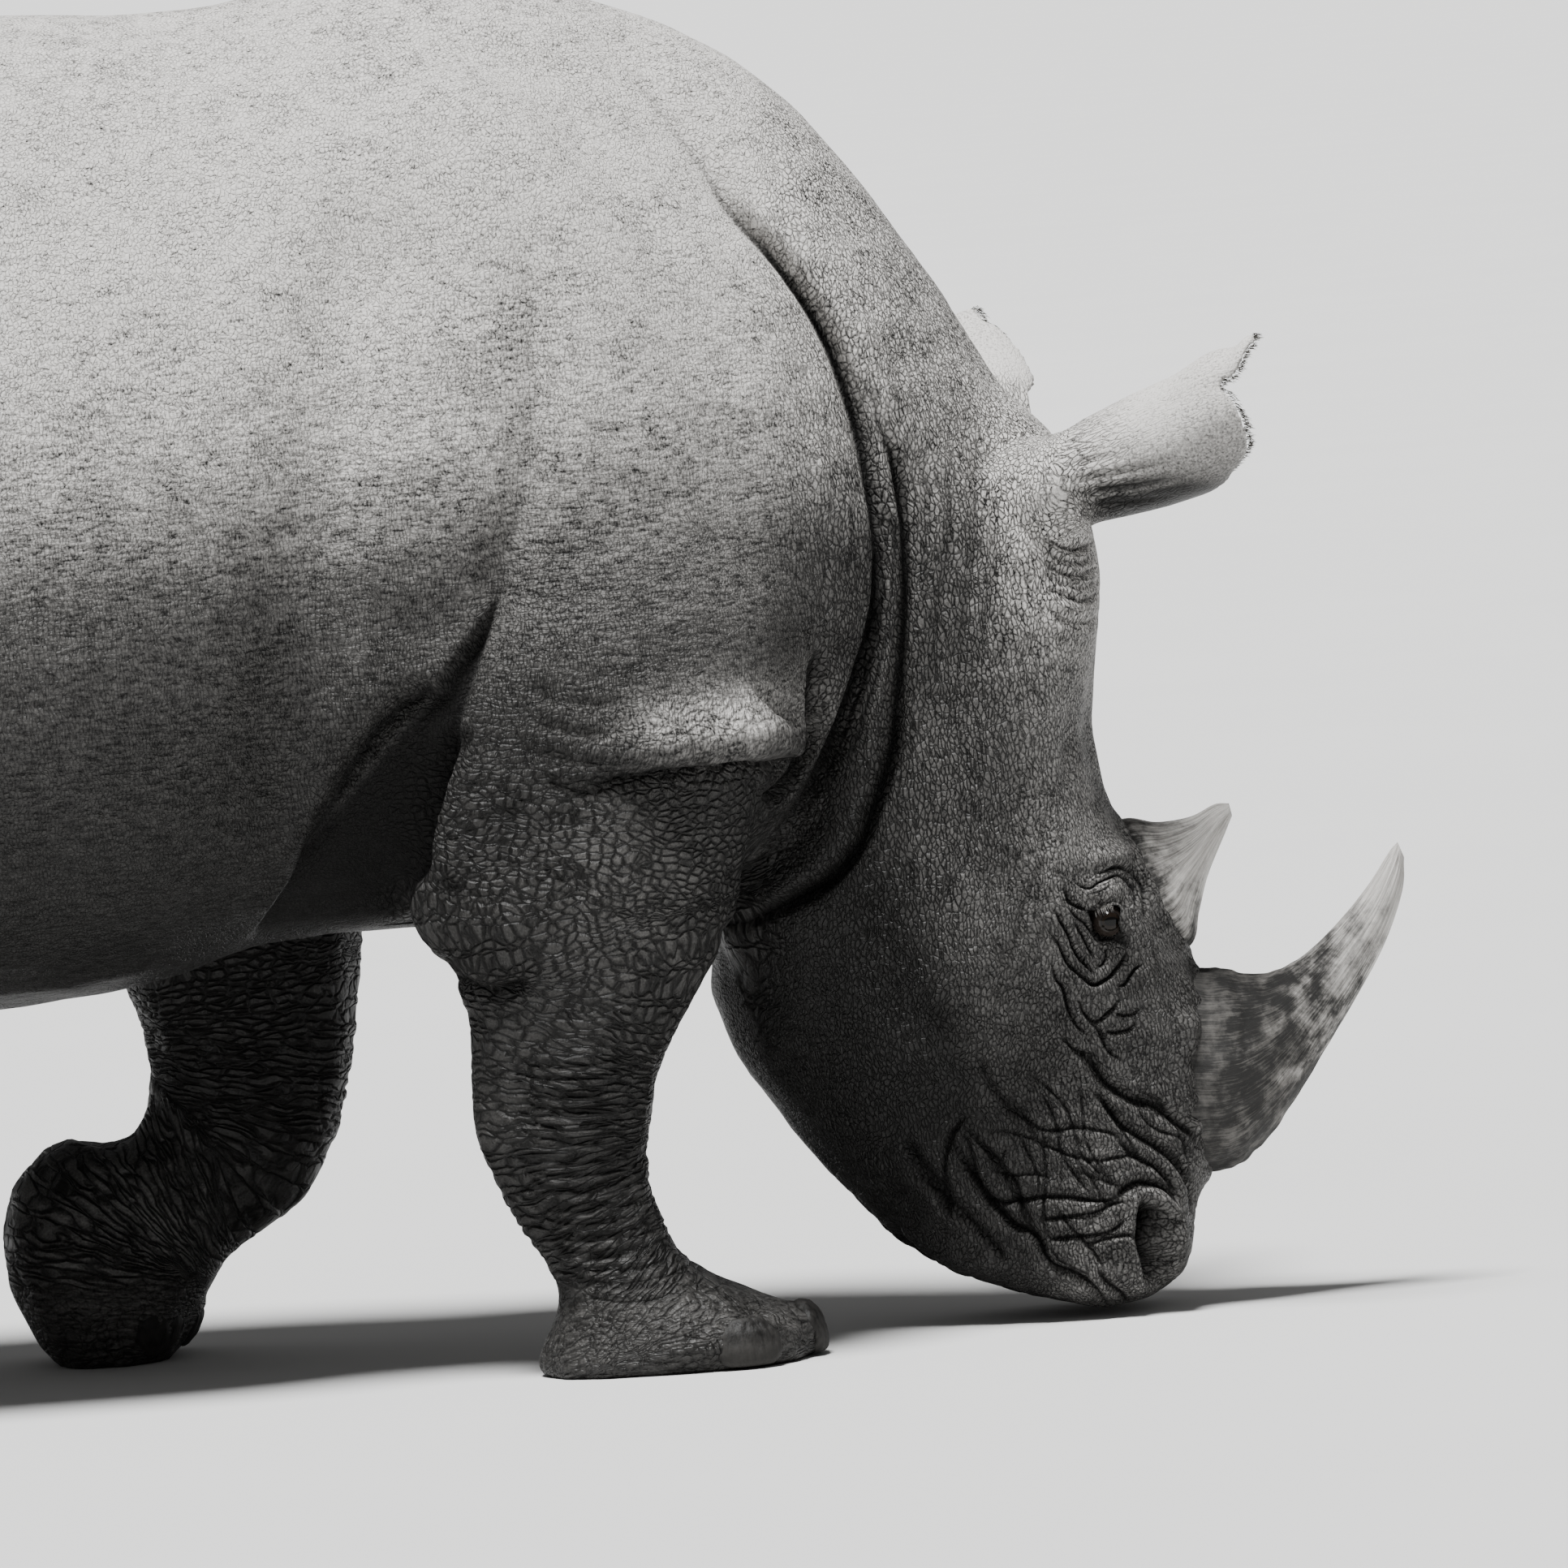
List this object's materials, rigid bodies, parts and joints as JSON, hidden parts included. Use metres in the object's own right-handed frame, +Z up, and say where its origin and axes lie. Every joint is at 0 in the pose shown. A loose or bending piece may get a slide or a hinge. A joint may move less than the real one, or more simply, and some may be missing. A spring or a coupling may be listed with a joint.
{
  "type": "rhinoceros",
  "caption": "Life-size white rhinoceros, a still model of a grazing animal in mid stride, head lowered to the ground.",
  "frame": {"origin": "middle of the model's box at floor level", "axes": "+X the way the muzzle and the long side of the body point, +Y the animal's left, +Z up"},
  "size_m": [3.153, 0.98, 1.7206],
  "materials": {
    "skin": "dry, deeply creased hide",
    "horn": "worn fibrous keratin",
    "nails": "scuffed keratin",
    "eyes": "wet, dark",
    "bristles": "coarse dark hair"
  },
  "bodies": {
    "root": {"trunk": "skin", "neck": "skin", "head": "skin", "tail": "skin", "right_upper_arm": "skin", "right_forearm": "skin", "right_forefoot": "skin", "right_thigh": "skin", "right_shank": "skin", "right_hindfoot": "skin", "left_upper_arm": "skin", "left_forearm": "skin", "left_forefoot": "skin", "left_thigh": "skin", "left_shank": "skin", "left_hindfoot": "skin", "right_ear": "skin", "left_ear": "skin", "front_horn": "horn", "rear_horn": "horn", "right_eye": "eyes", "left_eye": "eyes", "right_fore_middle_nail": "nails", "right_fore_right_nail": "nails", "right_fore_left_nail": "nails", "left_fore_middle_nail": "nails", "left_fore_right_nail": "nails", "left_fore_left_nail": "nails", "right_hind_middle_nail": "nails", "right_hind_right_nail": "nails", "right_hind_left_nail": "nails", "left_hind_middle_nail": "nails", "left_hind_right_nail": "nails", "left_hind_left_nail": "nails"}
  },
  "joints": []
}
